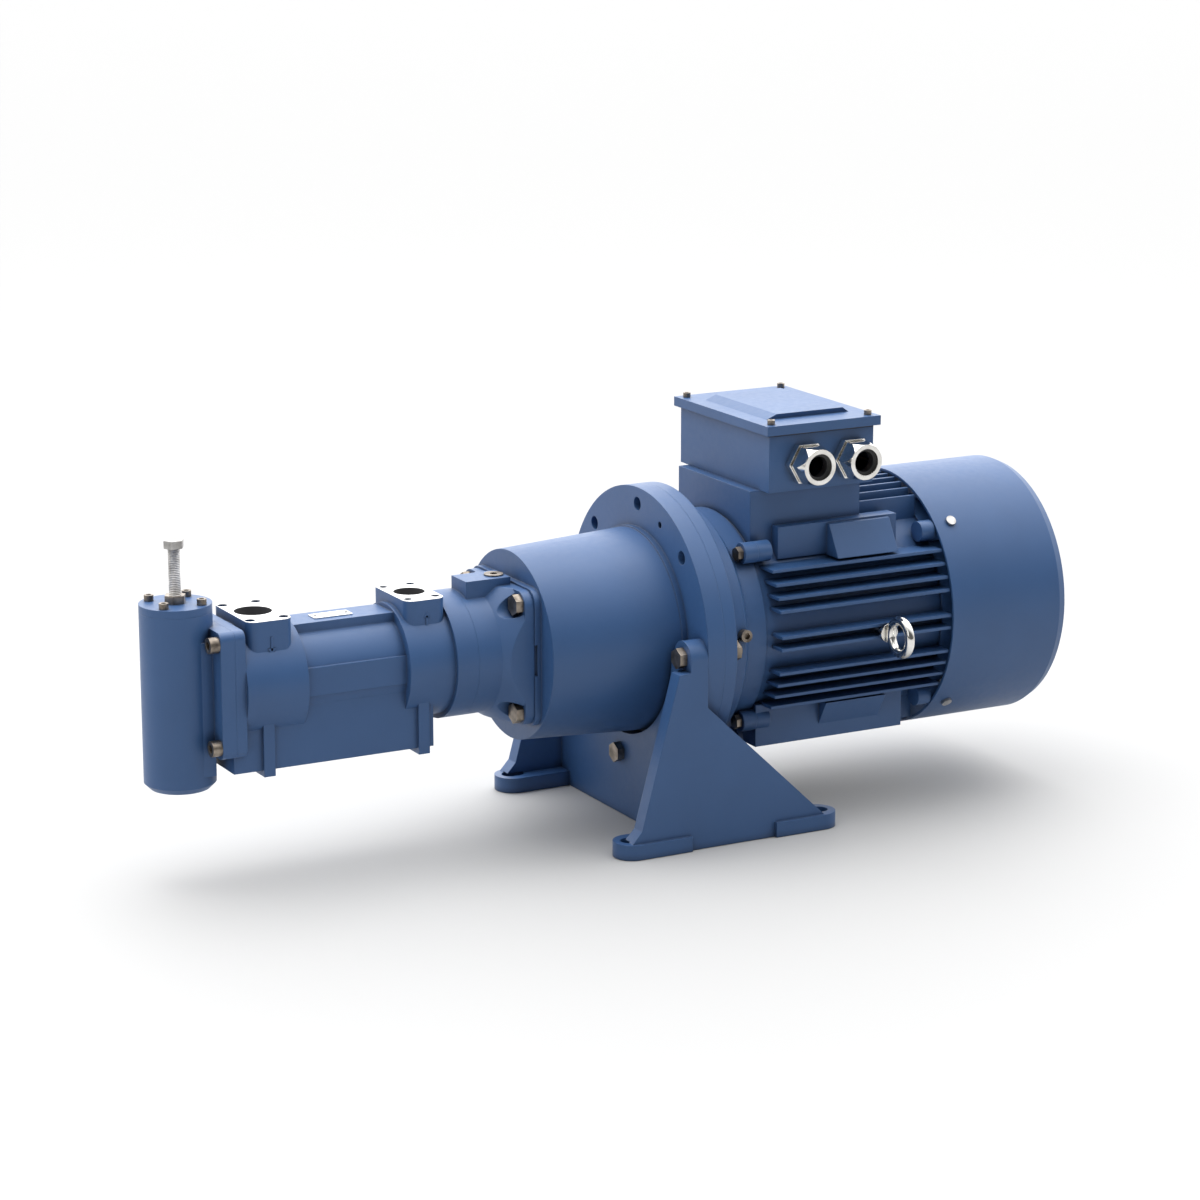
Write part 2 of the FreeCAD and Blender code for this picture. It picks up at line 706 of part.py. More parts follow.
# A deep-groove ball bearing as outer ring, inner ring and balls
def bearing(x, width, outer, inner, ball):
    middle = f"(({outer}) + ({inner})) / 2"
    groove = f"({ball}) + 0.05"
    centre = f"{x} + ({width}) / 2"
    race = f"({ball}) * 0.62"
    outside = cut(tube((x, 0, "shaft_height"), outer, f"{middle} + {race}", width),
                  ring((centre, 0, "shaft_height"), middle, groove))
    inside = cut(tube((x, 0, "shaft_height"), f"{middle} - {race}", inner, width),
                 ring((centre, 0, "shaft_height"), middle, groove))
    balls = [primitive("Sphere", (centre, *around(middle, 45 * step)), Radius=ball) for step in range(8)]
    return outside, inside, balls


def bearings():
    outside, inside, balls = bearing(f"{SEAM} + 4", "pump_bearing_width", "pump_bearing_radius",
                                     "pump_shaft_radius", "4")
    node("pump_bearing_outer_ring", outside)
    node("pump_bearing_inner_ring", inside)
    node("pump_bearing_balls", group(*balls))
    front = bearing(f"{SHIELD_START} + 8", "motor_bearing_width", "motor_bearing_radius",
                    "motor_bearing_inner_radius", "ball_radius")
    rear = bearing(f"{FRAME_END} + 2", "motor_bearing_width", "motor_bearing_radius",
                   "motor_bearing_inner_radius", "ball_radius")
    node("motor_bearing_outer_rings", group(front[0], rear[0]))
    node("motor_bearing_inner_rings", group(front[1], rear[1]))
    node("motor_bearing_balls", group(*front[2], *rear[2]))


# Mechanical seal: a carbon ring turning against a seat in the cover
def shaft_seal():
    seat_x = f"({SEAM} + 46 - seal_width)"
    node("seal_seat", tube((seat_x, 0, "shaft_height"), "seal_radius", "pump_shaft_radius + 1.5", "seal_width"))
    ring_x = f"({seat_x} - seal_width - 0.1)"
    node("seal_ring", tube((ring_x, 0, "shaft_height"), "seal_radius - 2", "pump_shaft_radius", "seal_width"))


# Jaw coupling: two hubs with three jaws each and an elastic spider of six legs between them
def coupling():
    axis = "shaft_height"
    motor_hub = f"({MOTOR_FACE} - motor_shaft_length)"
    pump_hub = f"({motor_hub} - jaw_length - 1)"
    leg_angle = "60 - jaw_angle"

    def sector(x, length, start, angle):
        wedge = rod((x, 0, axis), "hub_radius", length, ALONG, start, angle)
        return cut(wedge, rod((x, 0, axis), "jaw_inner_radius", length))

    pump_jaws = [sector(pump_hub, "jaw_length", 120 * step, "jaw_angle") for step in range(3)]
    pump_body = cut(fuse(rod((f"{pump_hub} - hub_length", 0, axis), "hub_radius", "hub_length"), *pump_jaws),
                    rod((f"{pump_hub} - hub_length", 0, axis), "pump_shaft_radius", "hub_length"))
    node("pump_coupling_hub", pump_body)
    motor_jaws = [sector(f"{motor_hub} - jaw_length", "jaw_length", 60 + 120 * step, "jaw_angle")
                  for step in range(3)]
    motor_body = cut(fuse(rod((motor_hub, 0, axis), "hub_radius", "hub_length"), *motor_jaws),
                     rod((motor_hub, 0, axis), "motor_shaft_radius", "hub_length"))
    node("motor_coupling_hub", motor_body)
    legs = [sector(f"{pump_hub} + 1", "jaw_length - 1", 36 + 60 * step, leg_angle) for step in range(6)]
    core = tube((f"{pump_hub} + 1", 0, axis), "jaw_inner_radius", "13", "jaw_length - 1")
    node("coupling_spider", fuse(core, *legs))


# Bell housing: a cast cone that carries the pump on its square nose and bolts to the motor
def bell_housing():
    nose = f"({PUMP_JOINT} + pad_depth)"
    wall_in = f"({PUMP_JOINT} + bell_end_wall)"
    cone = turned([
        (nose, "pump_spigot_radius + fit_gap"),
        (nose, "bell_nose_radius"),
        ("bell_face - bell_ring_depth", "bell_root_radius"),
        ("bell_face - bell_ring_depth", "bell_ring_radius"),
        ("bell_face", "bell_ring_radius"),
        ("bell_face", "bell_flange_radius"),
        (FLANGE_BACK, "bell_flange_radius"),
        (FLANGE_BACK, "motor_spigot_radius + fit_gap"),
        (f"{FLANGE_BACK} - motor_spigot_depth - 1", "motor_spigot_radius + fit_gap"),
        (f"{FLANGE_BACK} - motor_spigot_depth - 1", "bell_root_radius - bell_wall"),
        (wall_in, "bell_nose_radius - bell_wall"),
        (wall_in, "pump_spigot_radius + fit_gap"),
    ])
    pad = rounded_block((PUMP_JOINT, "-pad_half", "shaft_height - pad_half"),
                        ("pad_depth + 0.01", "2 * pad_half", "2 * pad_half"), "pad_corner", ALONG)
    holes = [rod((PUMP_JOINT, 0, "shaft_height"), "pump_spigot_radius + fit_gap", "bell_end_wall")]
    for angle in (45, 135, 225, 315):
        holes.append(rod((PUMP_JOINT, *around("pump_bolt_circle", angle)), "pump_bolt_radius", "bell_end_wall"))
    for step in range(8):
        holes.append(rod(("bell_face", *around("bell_bolt_circle", 45 * step)), "bell_hole_radius",
                         "bell_flange_thickness"))
    holes.append(rod(("bell_face", *around("bell_bolt_circle - 4", 112)), "3.5", "bell_flange_thickness"))
    for side in (-1, 1):
        holes.append(block((PUMP_JOINT, f"{side} * (pad_half - 2) - 2", "shaft_height - pry_slot_half"),
                           ("3", "4", "2 * pry_slot_half")))
    node("bell_housing", cut(fuse(cone, pad), *holes))


# Foot bracket: one casting with a front plate, two side gussets and four slotted feet
def foot_bracket():
    plate_x = "(bell_face - bracket_thickness)"
    web = block((plate_x, "-bracket_half_width", 0), ("bracket_thickness", "2 * bracket_half_width",
                                                      "shaft_height"))
    solid = [web]
    for side in (-1, 1):
        solid.append(rod((plate_x, f"{side} * bell_bolt_circle", "shaft_height"), "lug_radius",
                         "bracket_thickness"))
        inner = "bracket_half_width - gusset_thickness" if side > 0 else "-bracket_half_width"
        solid.append(plate([
            (plate_x, "shaft_height - 12"),
            ("bell_face - 33", "shaft_height - 13"),
            ("bell_face - 76", "28"),
            (f"{plate_x} - gusset_front_foot - 10", "foot_pad_thickness"),
            (f"{plate_x} - gusset_front_foot - 10", "0"),
            ("foot_spacing_x / 2", "0"),
            ("foot_spacing_x / 2", "foot_pad_thickness"),
            ("bell_face + gusset_rear_reach", "foot_pad_thickness + 4"),
            ("bell_face", "shaft_height - gusset_rear_top"),
            ("bell_face", "shaft_height - 12"),
        ], inner, "gusset_thickness"))
        for end in (-1, 1):
            x = f"({end} * foot_spacing_x / 2)"
            y = f"({side} * foot_spacing_y / 2)"
            solid.append(rod((x, y, 0), "foot_pad_radius", "foot_pad_thickness", UP))
            start = x if end < 0 else f"{x} - 60"
            solid.append(block((start, f"{y} - foot_pad_radius", 0), ("60", "2 * foot_pad_radius",
                                                                      "foot_pad_thickness")))
    holes = [rod((f"{plate_x} - 1", 0, "shaft_height"), "bracket_cutout_radius", "bracket_thickness + 1"),
             rod(("bell_face", 0, "shaft_height"), "bell_flange_radius + 1.5",
                 "bell_flange_thickness + motor_flange_thickness + 30")]
    for angle in (180, 225, 270, 315, 0):
        holes.append(rod((plate_x, *around("bell_bolt_circle", angle)), "bell_hole_radius",
                         "bracket_thickness"))
    reach = "(foot_slot_length / 2 - foot_slot_radius)"
    for side in (-1, 1):
        for end in (-1, 1):
            x = f"({end} * foot_spacing_x / 2)"
            y = f"({side} * foot_spacing_y / 2)"
            holes.append(rod((f"{x} - {reach}", y, 0), "foot_slot_radius", "foot_pad_thickness + 1", UP))
            holes.append(rod((f"{x} + {reach}", y, 0), "foot_slot_radius", "foot_pad_thickness + 1", UP))
            holes.append(block((f"{x} - {reach}", f"{y} - foot_slot_radius", 0),
                               (f"2 * {reach}", "2 * foot_slot_radius", "foot_pad_thickness + 1")))
    node("foot_bracket", cut(fuse(*solid), *holes))
    bolts = []
    nuts = []
    stack = "bracket_thickness + bell_flange_thickness + motor_flange_thickness"
    for angle in (180, 270, 0):
        y, z = around("bell_bolt_circle", angle)
        bolts.append(hex_bolt((plate_x, y, z), BACK, "bracket_bolt_radius", f"{stack} + 13",
                              "bracket_bolt_across", "bracket_bolt_head"))
        nut = hexagon((SHIELD_START, y, z), "bracket_bolt_across", "bracket_nut_height")
        nuts.append(cut(nut, rod((SHIELD_START, y, z), "bracket_bolt_radius", "bracket_nut_height")))
    node("bracket_bolts", group(*bolts))
    node("bracket_nuts", group(*nuts))


# Drive-end shield with the motor's flange and spigot, and its bolts
def front_shield():
    seat = "motor_bearing_radius"
    bearing_x = f"({SHIELD_START} + 8)"
    shell = turned([
        (f"{MOTOR_FACE} - motor_spigot_depth", "motor_shaft_radius + 3"),
        (f"{MOTOR_FACE} - motor_spigot_depth", "motor_spigot_radius"),
        (MOTOR_FACE, "motor_spigot_radius"),
        (MOTOR_FACE, "bell_flange_radius"),
        (SHIELD_START, "bell_flange_radius"),
        (SHIELD_START, "shield_radius"),
        (f"{SHIELD_START} + 24", "shield_radius"),
        (f"{SHIELD_START} + 32", "shield_neck_radius"),
        (FRAME_START, "shield_neck_radius"),
        (FRAME_START, "frame_bore_radius"),
        (f"{SHIELD_START} + 36", "frame_bore_radius"),
        (f"{SHIELD_START} + 28", "motor_bearing_radius + 13"),
        (f"{bearing_x} + motor_bearing_width", "motor_bearing_radius + 13"),
        (f"{bearing_x} + motor_bearing_width", seat),
        (bearing_x, seat),
        (bearing_x, "motor_shaft_radius + 3"),
    ])
    solid = [shell]
    holes = []
    bolts = []
    for angle in (45, 135, 225, 315):
        y, z = around("ear_circle", angle)
        solid.append(rod((f"{FRAME_START} - ear_length", y, z), "ear_radius", "ear_length"))
        holes.append(rod((f"{FRAME_START} - ear_length", y, z), "4", "ear_length"))
        bolts.append(hex_bolt((f"{FRAME_START} - ear_length", y, z), BACK, "4", "ear_length + 12", "13", "6"))
    for angle in (0, 180, 270):
        holes.append(rod((MOTOR_FACE, *around("bell_bolt_circle", angle)), "bell_hole_radius",
                         "motor_flange_thickness"))
        holes.append(rod((SHIELD_START, *around("bell_bolt_circle", angle)), "bracket_bolt_across * 0.6", "15"))
    for angle in (45, 90, 135, 225, 315):
        holes.append(rod((MOTOR_FACE, *around("bell_bolt_circle", angle)), "bell_hole_radius",
                         "motor_flange_thickness"))
    holes.append(rod((f"{SHIELD_START} + 20", *around("shield_radius - 10", 174)), "4", "12", about(174)))
    node("drive_end_shield", cut(fuse(*solid), *holes))
    node("shield_bolts", group(*bolts))
    earth = cap_screw((f"{SHIELD_START} + 20", *around("shield_radius", 174)), about(174), "4", "9")
    node("earth_screw", earth)


# Motor frame: a finned barrel with pads for the terminal box and the lifting eye
def motor_frame():
    axis = "shaft_height"
    solid = [turned([(FRAME_START, "frame_bore_radius"), (FRAME_START, "frame_radius"),
                     (FRAME_END, "frame_radius"), (FRAME_END, "frame_bore_radius")])]
    fin_x = f"({FRAME_START} + fin_front_margin)"
    fin_length = "(frame_length - fin_front_margin)"
    for step in range(6):
        lift = f"((0.5 + {step}) * fin_pitch)"
        reach = f"sqrt(fin_radius ^ 2 - {lift} ^ 2)"
        for up in (-1, 1):
            solid.append(block((fin_x, f"-{reach}", f"{axis} + {up} * {lift} - fin_thickness / 2"),
                               (fin_length, f"2 * {reach}", "fin_thickness")))
            if step < 5:
                solid.append(block((fin_x, f"{up} * {lift} - fin_thickness / 2", f"{axis} - {reach}"),
                                   (fin_length, "fin_thickness", f"2 * {reach}")))
    solid.append(block((f"{FRAME_START} + neck_start", "-neck_half_width", f"{axis} + 70"),
                       ("neck_length", "2 * neck_half_width", "box_base_height - 70")))
    for side in (-1, 1):
        for up in (-1, 1):
            start = f"{FRAME_START} + plate_position" if up > 0 else f"{FRAME_START} + plate_position - 12"
            solid.append(plate([
                (f"{side} * 70", f"{axis} + {up} * 77"),
                (f"{side} * 112", f"{axis} + {up} * 77"),
                (f"{side} * 93", f"{axis} + {up} * 110"),
                (f"{side} * 70", f"{axis} + {up} * 110"),
            ], start, "plate_length", ALONG))
            solid.append(block((f"{FRAME_START} + 30", f"{side} * 79 - 9", f"{axis} + {up} * 95 - 17"),
                               ("145", "18", "34")))
        solid.append(block((f"{FRAME_START}", f"{side} * 85 - 12", f"{axis} - 118"), ("180", "24", "45")))
    boss = ("eyebolt_position + " + FRAME_START, 0, axis)
    solid.append(taper(boss, "44", "13", "eyebolt_seat", NEAR))
    for angle in (45, 135, 225, 315):
        y, z = around("ear_circle", angle)
        solid.append(rod((FRAME_START, y, z), "ear_radius", "ear_length"))
        solid.append(rod((f"{FRAME_END} - ear_length", y, z), "ear_radius", "ear_length"))
    holes = [rod((FRAME_START, 0, axis), "frame_bore_radius", "frame_length"),
             rod((f"{FRAME_START} + neck_start + neck_length / 2", 0, f"{axis} + 90"), "16", "90", UP),
             rod((boss[0], "-eyebolt_seat", axis), "5", "20", FAR)]
    for angle in (45, 135, 225, 315):
        holes.append(rod((FRAME_START, *around("ear_circle", angle)), "4", "12"))
    node("motor_frame", cut(fuse(*solid), *holes))
    seat = (boss[0], "-eyebolt_seat", axis)
    eye_y = "-eyebolt_seat - 4 - eye_radius - eye_wire_radius + 1"
    node("lifting_eyebolt", fuse(rod(seat, "5", "18", FAR), rod(seat, "10", "4", NEAR),
                                 ring((boss[0], eye_y, axis), "eye_radius", "eye_wire_radius", ALONG)))


# What turns and stands still inside the motor
def motor_inside():
    axis = "shaft_height"
    core_x = f"({FRAME_START} + stator_start)"
    node("stator_core", tube((core_x, 0, axis), "frame_bore_radius", "stator_inner_radius", "stator_length"))
    ends = [tube((f"{core_x} - winding_length", 0, axis), "frame_bore_radius - 8", "stator_inner_radius + 6",
                 "winding_length"),
            tube((f"{core_x} + stator_length", 0, axis), "frame_bore_radius - 8", "stator_inner_radius + 6",
                 "winding_length")]
    node("stator_windings", group(*ends))
    node("rotor", tube((core_x, 0, axis), "rotor_radius", "rotor_shaft_radius", "stator_length"))
    front = f"({MOTOR_FACE} - motor_shaft_length)"
    bearing_x = f"({SHIELD_START} + 8)"
    rear_x = f"({FRAME_END} + 2)"
    node("motor_shaft", turned([
        (front, "0"),
        (front, "motor_shaft_radius"),
        (bearing_x, "motor_shaft_radius"),
        (bearing_x, "motor_bearing_inner_radius"),
        (f"{bearing_x} + motor_bearing_width", "motor_bearing_inner_radius"),
        (f"{bearing_x} + motor_bearing_width", "rotor_shaft_radius"),
        (rear_x, "rotor_shaft_radius"),
        (rear_x, "motor_bearing_inner_radius"),
        (f"{rear_x} + motor_bearing_width", "motor_bearing_inner_radius"),
        (f"{rear_x} + motor_bearing_width", "fan_shaft_radius"),
        (f"{rear_x} + motor_bearing_width + 70", "fan_shaft_radius"),
        (f"{rear_x} + motor_bearing_width + 70", "0"),
    ]))


# Rear shield, cooling fan and the fan cowl with its grille
def rear_end():
    axis = "shaft_height"
    wall = f"({FRAME_END} + rear_shield_length)"
    seat_end = f"({FRAME_END} + 2 + motor_bearing_width)"
    shell = turned([
        (FRAME_END, "frame_bore_radius"),
        (f"{FRAME_END} + 11", "frame_bore_radius"),
        (f"{FRAME_END} + 20", "motor_bearing_radius + 13"),
        (FRAME_END, "motor_bearing_radius + 13"),
        (FRAME_END, "motor_bearing_radius"),
        (seat_end, "motor_bearing_radius"),
        (seat_end, "fan_shaft_radius + 2"),
        (wall, "fan_shaft_radius + 2"),
        (wall, "motor_bearing_radius + 15"),
        (f"{FRAME_END} + 18", "shield_neck_radius"),
        (FRAME_END, "shield_neck_radius"),
    ])
    ears = []
    screws = []
    cowl_x = f"({FRAME_END} + cowl_gap)"
    inside = "(cowl_radius - cowl_wall)"
    cowl_holes = []
    for angle in (45, 135, 225, 315):
        ears.append(rod((FRAME_END, *around(f"{inside} - ear_radius", angle)), "ear_radius",
                        "rear_shield_length"))
        seat = (f"{cowl_x} + 20", *around("cowl_radius", angle))
        direction = about(angle)
        root = (seat[0], *around(f"{inside} - 10", angle))
        cowl_holes.append(rod(root, "2.5", "14", direction))
        head = rod(seat, "5.5", "3", direction)
        screw = fuse(head, rod(seat, "2.5", "cowl_wall + 9", direction.negative()))
        screws.append(screw)
    ear_holes = [rod((f"{cowl_x} + 20", *around(f"{inside} - 10", angle)), "2.5", "14", about(angle))
                 for angle in (45, 135, 225, 315)]
    node("rear_end_shield", cut(fuse(shell, *ears), *ear_holes))
    node("cowl_screws", group(*screws))

    fan_x = f"({wall} + 15)"
    blades = []
    for step in range(9):
        blade = primitive("Box", (fan_x, "0", axis), Length="fan_width", Width="3", Height="fan_radius")
        blade.Placement = Placement(Vector(), Rotation(ALONG, 40 * step))
        for letter, text in zip("xyz", (fan_x, "0", axis)):
            bind(blade, "Placement.Base." + letter, text)
        blades.append(blade)
    wheel = fuse(rod((fan_x, 0, axis), "fan_radius * 0.7", "3"), rod((fan_x, 0, axis), "fan_shaft_radius + 8",
                                                                     "fan_width"), *blades)
    node("fan", cut(wheel, rod((fan_x, 0, axis), "fan_shaft_radius", "fan_width")))

    rear = f"({cowl_x} + cowl_length)"
    shell = turned([
        (cowl_x, inside),
        (cowl_x, "cowl_radius"),
        (f"{rear} - cowl_edge", "cowl_radius"),
        (f"{rear} - cowl_edge * 0.3", "cowl_radius - cowl_edge * 0.3"),
        (rear, "cowl_radius - cowl_edge"),
        (rear, "0"),
        (f"{rear} - cowl_wall", "0"),
        (f"{rear} - cowl_wall", f"{inside} - cowl_edge"),
        (f"{rear} - cowl_edge * 0.3 - cowl_wall", f"{inside} - cowl_edge * 0.3"),
        (f"{rear} - cowl_edge - cowl_wall", inside),
    ])
    slots = [tube((f"{rear} - cowl_wall - 1", 0, axis), f"(20 + {step} * grille_pitch + grille_slot_width)",
                  f"(20 + {step} * grille_pitch)", "cowl_wall + 2") for step in range(7)]
    spokes = []
    for step in range(4):
        bar = primitive("Box", (rear, 0, axis), Length="cowl_wall + 4", Width="9", Height="2 * cowl_radius")
        turn = Rotation(ALONG, 45 * step)
        offset = turn.multVec(Vector(0, -4.5, -number("cowl_radius")))
        bar.Placement = Placement(Vector(), turn)
        bind(bar, "Placement.Base.x", f"{rear} - cowl_wall - 2")
        bind(bar, "Placement.Base.y", f"{offset.y}")
        bind(bar, "Placement.Base.z", f"{axis} + {offset.z}")
        spokes.append(bar)
    grille = cut(fuse(*slots), *spokes)
    node("fan_cowl", cut(shell, grille, *cowl_holes))


# Terminal box with gasket, lid, terminal board and two cable glands
def terminal_box():
    x = f"({FRAME_START} + box_start)"
    low = "(shaft_height + box_base_height)"
    width = "2 * box_half_width"
    outer = block((x, "-box_half_width", low), ("box_length", width, "box_height"))
    hollow = block((f"{x} + box_wall", "-box_half_width + box_wall", f"{low} + box_wall"),
                   ("box_length - 2 * box_wall", f"{width} - 2 * box_wall", "box_height"))
    top = f"({low} + box_height)"
    corners = [(f"{x} + box_length / 2 + {end} * (box_length / 2 - 4.5)", f"{side} * (box_half_width - 4.5)")
               for side in (-1, 1) for end in (-1, 1)]
    posts = [rod((across, y, low), "4.5", "box_height", UP) for across, y in corners]
    screw_holes = [rod((across, y, f"{top} - 14"), "2.5", "14", UP) for across, y in corners]
    gland_x = [f"({x} + gland_from_front + {step} * gland_spacing)" for step in (0, 1)]
    gland_z = f"({low} + gland_height)"
    wall_y = "-box_half_width"
    gland_holes = [rod((place_x, wall_y, gland_z), "gland_thread_radius", "box_wall", FAR) for place_x in gland_x]
    cable_hole = rod((f"{x} + box_length / 2", 0, low), "16", "box_wall", UP)
    shell = fuse(cut(outer, hollow), *posts)
    node("terminal_box", cut(shell, *screw_holes, *gland_holes, cable_hole))

    seal = cut(block((x, "-box_half_width", top), ("box_length", width, "gasket_thickness")),
               block((f"{x} + 9", "-box_half_width + 9", top), ("box_length - 18", f"{width} - 18",
                                                                "gasket_thickness")),
               *[rod((across, y, top), "2.5", "gasket_thickness", UP) for across, y in corners])
    node("lid_gasket", seal)
    lid_low = f"({top} + gasket_thickness)"
    lid = block((f"{x} - lid_overhang", "-box_half_width - lid_overhang", lid_low),
                ("box_length + 2 * lid_overhang", f"{width} + 2 * lid_overhang", "lid_thickness"))
    panel = plate([
        (f"{x} + 12", f"{lid_low} + lid_thickness - 0.5"),
        (f"{x} + box_length - 12", f"{lid_low} + lid_thickness - 0.5"),
        (f"{x} + box_length - 20", f"{lid_low} + lid_thickness + lid_panel_height"),
        (f"{x} + 26", f"{lid_low} + lid_thickness + lid_panel_height"),
    ], "-63", "126")
    lid_holes = [rod((across, y, lid_low), "2.5", "lid_thickness", UP) for across, y in corners]
    node("terminal_lid", cut(fuse(lid, panel), *lid_holes))
    lid_screws = [cap_screw((across, y, f"{lid_low} + lid_thickness"), UP, "2.5",
                            "lid_thickness + gasket_thickness + 10") for across, y in corners]
    node("lid_screws", group(*lid_screws))

    board_low = f"({low} + box_wall)"
    board = rounded_block((f"{x} + 38", "-25", board_low), ("50", "70", "12"), "4")
    studs = []
    for row in range(2):
        for column in range(3):
            at = (f"{x} + {53 + 20 * row}", f"{-10 + 20 * column}", f"{board_low} + 12")
            studs.append(fuse(rod(at, "2.5", "12", UP), hexagon(at, "8", "4", UP)))
    node("terminal_board", board)
    node("terminal_studs", group(*studs))

    bodies = []
    nuts = []
    seals = []
    for place_x in gland_x:
        at = (place_x, wall_y, gland_z)
        body = fuse(hexagon(at, "gland_across", "9", NEAR), rod(at, "gland_thread_radius", "box_wall + 4", FAR),
                    rod(at, "gland_thread_radius", "18", NEAR))
        bodies.append(cut(body, rod((place_x, f"{wall_y} + 12", gland_z), "gland_bore_radius + 2", "40", NEAR)))
        nut_at = (place_x, f"{wall_y} - 10", gland_z)
        crown = common(hexagon(nut_at, "gland_nut_across", "22", NEAR),
                       taper(nut_at, "24", "18.6", "22", NEAR))
        nut = cut(crown, rod(nut_at, "gland_thread_radius", "9", NEAR), rod(nut_at, "gland_bore_radius + 3",
                                                                           "23", NEAR))
        nuts.append(nut)
        seals.append(tube((place_x, f"{wall_y} - 18.5", gland_z), "gland_bore_radius + 3", "gland_bore_radius",
                          "9", NEAR))
    node("gland_bodies", group(*bodies))
    node("gland_nuts", group(*nuts))
    node("gland_seals", group(*seals))


pump_housing()
drive_cover()
relief_valve()
relief_spring()
screws()
screw_liner()
bearings()
shaft_seal()
coupling()
bell_housing()
foot_bracket()
front_shield()
motor_frame()
motor_inside()
rear_end()
terminal_box()
doc.recompute()

faults = [thing.Name for thing in doc.Objects if "Invalid" in thing.State or "Error" in thing.State]
for thing in NODES:
    if thing.Shape.isNull() or not thing.Shape.isValid():
        faults.append(thing.Label)
if faults:
    raise SystemExit("These failed: " + ", ".join(faults))

os.makedirs("parts", exist_ok=True)
for thing in NODES:
    thing.Shape.exportStep(f"parts/{thing.Label}.step")
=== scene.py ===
import math
import bpy
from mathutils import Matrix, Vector


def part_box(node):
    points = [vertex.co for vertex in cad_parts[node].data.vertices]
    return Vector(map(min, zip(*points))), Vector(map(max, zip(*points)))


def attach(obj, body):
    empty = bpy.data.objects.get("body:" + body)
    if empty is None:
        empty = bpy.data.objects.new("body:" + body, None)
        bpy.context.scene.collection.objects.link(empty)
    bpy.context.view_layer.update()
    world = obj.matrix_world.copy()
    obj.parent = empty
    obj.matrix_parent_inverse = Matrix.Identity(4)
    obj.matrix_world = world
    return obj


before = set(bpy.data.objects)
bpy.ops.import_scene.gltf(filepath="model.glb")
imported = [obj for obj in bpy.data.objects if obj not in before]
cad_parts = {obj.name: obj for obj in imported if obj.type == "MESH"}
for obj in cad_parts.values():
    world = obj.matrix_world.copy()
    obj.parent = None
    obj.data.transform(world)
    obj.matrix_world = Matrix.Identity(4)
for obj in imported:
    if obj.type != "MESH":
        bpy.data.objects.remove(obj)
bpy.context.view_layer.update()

bpy.ops.object.select_all(action="DESELECT")

# The camera stands where the photograph was taken from: to the left of the pump's near side and
# a little above it, with a long lens.
camera_place = (-1.7907, -3.1878, 1.1286)
camera_heading = math.radians(-28.29)
camera_dip = math.radians(13.873)
sensor_width = 36.0
focal_pixels = 3584.45
picture_pixels = 1200.0
camera_data = bpy.data.cameras.new("camera")
camera_data.sensor_width = sensor_width
camera_data.lens = sensor_width * focal_pixels / picture_pixels
camera = bpy.data.objects.new("camera", camera_data)
bpy.context.collection.objects.link(camera)
camera.location = camera_place
camera.rotation_euler = (math.pi / 2 - camera_dip, 0, camera_heading)
bpy.context.scene.camera = camera

# The floor is plain. Its grey turns pale under the strong light, and throws little of it back up
# at the object's sides. It lies half a millimetre under the feet.
floor_size = 30.0
floor_drop = 0.0005
floor_grey = 0.46
floor_roughness = 0.7
bpy.ops.mesh.primitive_plane_add(size=floor_size, location=(0, 0, -floor_drop))
floor = bpy.context.object
floor.name = "floor"
floor_material = bpy.data.materials.new("pale_floor")
floor_material.use_nodes = True
floor_shader = floor_material.node_tree.nodes["Principled BSDF"]
floor_shader.inputs["Base Color"].default_value = (floor_grey, floor_grey, floor_grey, 1)
floor_shader.inputs["Roughness"].default_value = floor_roughness
floor.data.materials.append(floor_material)

# The studio is a soft white room that is brightest overhead and behind the object, so that faces
# turned up glow pale and the near sides stay deep blue.
backdrop_direction = Vector((0.313, 0.581, 0.75)).normalized()
dimmest_strength = 0.12
brightest_strength = 3.1
dimmest_facing = -0.1
world = bpy.data.worlds.new("studio")
bpy.context.scene.world = world
world.use_nodes = True
sky = world.node_tree
sky.nodes["Background"].inputs["Color"].default_value = (1, 1, 1, 1)
sky_place = sky.nodes.new("ShaderNodeTexCoord")
towards_backdrop = sky.nodes.new("ShaderNodeVectorMath")
towards_backdrop.operation = "DOT_PRODUCT"
towards_backdrop.inputs[1].default_value = backdrop_direction
sky_strength = sky.nodes.new("ShaderNodeMapRange")
sky_strength.inputs["From Min"].default_value = dimmest_facing
sky_strength.inputs["To Min"].default_value = dimmest_strength
sky_strength.inputs["To Max"].default_value = brightest_strength
sky.links.new(sky_place.outputs["Generated"], towards_backdrop.inputs[0])
sky.links.new(towards_backdrop.outputs["Value"], sky_strength.inputs["Value"])
sky.links.new(sky_strength.outputs["Result"], sky.nodes["Background"].inputs["Strength"])
bpy.context.scene.view_settings.view_transform = "Standard"


# Two soft lamps shape the forms: a broad one above the object, and a weaker one to its left that
# brings out the pump's end.
def studio_lamp(name, place, target, width, watts):
    lamp_data = bpy.data.lights.new(name, "AREA")
    lamp_data.size = width
    lamp_data.energy = watts
    lamp = bpy.data.objects.new(name, lamp_data)
    bpy.context.collection.objects.link(lamp)
    lamp.location = place
    lamp.rotation_euler = (Vector(target) - Vector(place)).to_track_quat("-Z", "Y").to_euler()


studio_lamp("overhead_lamp", place=(-0.3, 0.5, 3.0), target=(0, 0, 0.2), width=2.4, watts=40)
studio_lamp("left_lamp", place=(-3.0, -1.6, 1.5), target=(-0.1, 0, 0.25), width=1.6, watts=10)


